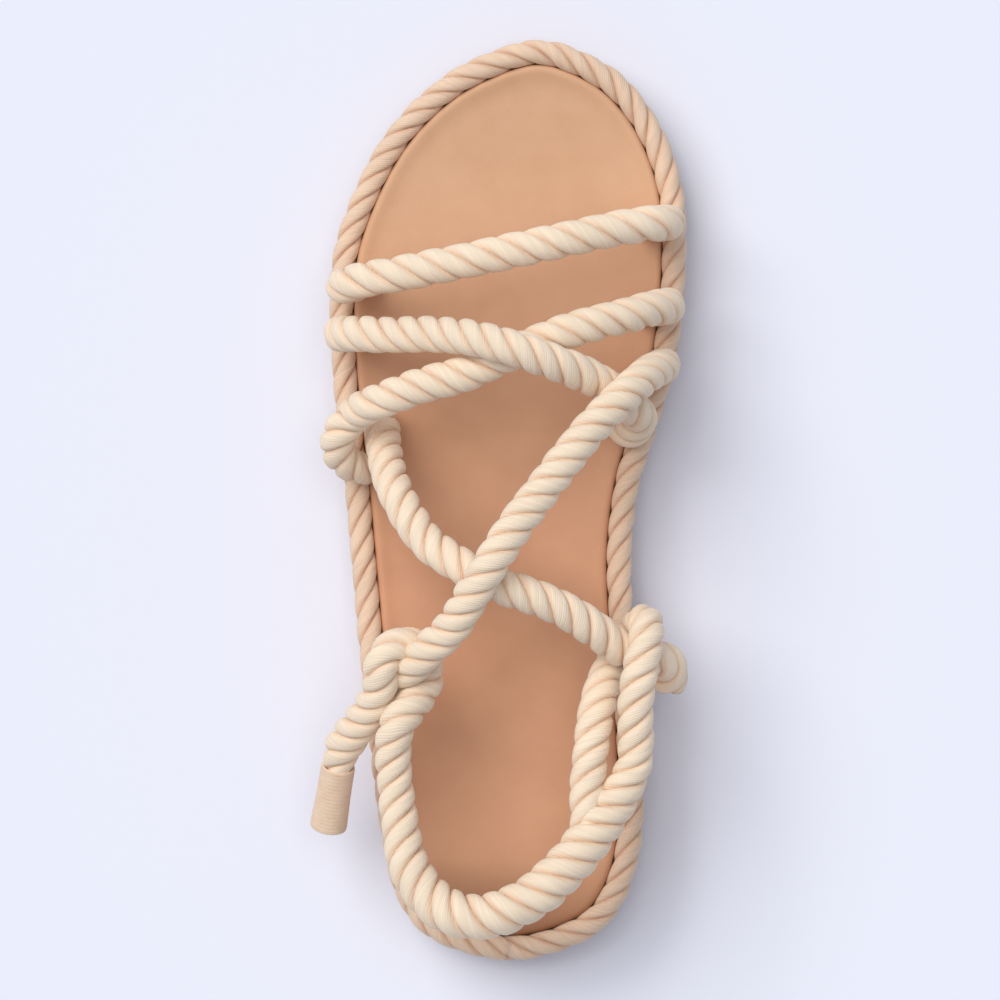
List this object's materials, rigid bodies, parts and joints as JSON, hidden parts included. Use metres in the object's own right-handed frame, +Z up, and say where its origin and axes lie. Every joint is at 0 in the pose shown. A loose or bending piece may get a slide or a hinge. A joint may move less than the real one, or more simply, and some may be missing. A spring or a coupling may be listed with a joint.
{
  "type": "rope slingback sandal",
  "caption": "Flat open sandal for a left foot with a rubber sole, smooth footbed, rope-trimmed edge and crossed twisted-rope straps tied to a rope heel sling.",
  "frame": {"origin": "centre of the bounding box's bottom face, on the floor", "axes": "+Y towards the toe, +X towards the inner side of the left foot, +Z up"},
  "size_m": [0.1048, 0.2563, 0.0715],
  "materials": {
    "outsole": "matte moulded rubber, natural tan",
    "footbed": "smooth satin leather, tan",
    "trim_rope": "twisted cotton rope, natural cream",
    "toe_strap": "twisted cotton rope, natural cream",
    "rope_upper": "twisted cotton rope, natural cream",
    "tail_whipping": "tightly wound cotton thread"
  },
  "bodies": {
    "root": {"outsole": "outsole", "footbed": "footbed", "trim_rope": "trim_rope", "toe_strap": "toe_strap", "rope_upper": "rope_upper", "tail_whipping": "tail_whipping"}
  },
  "joints": []
}
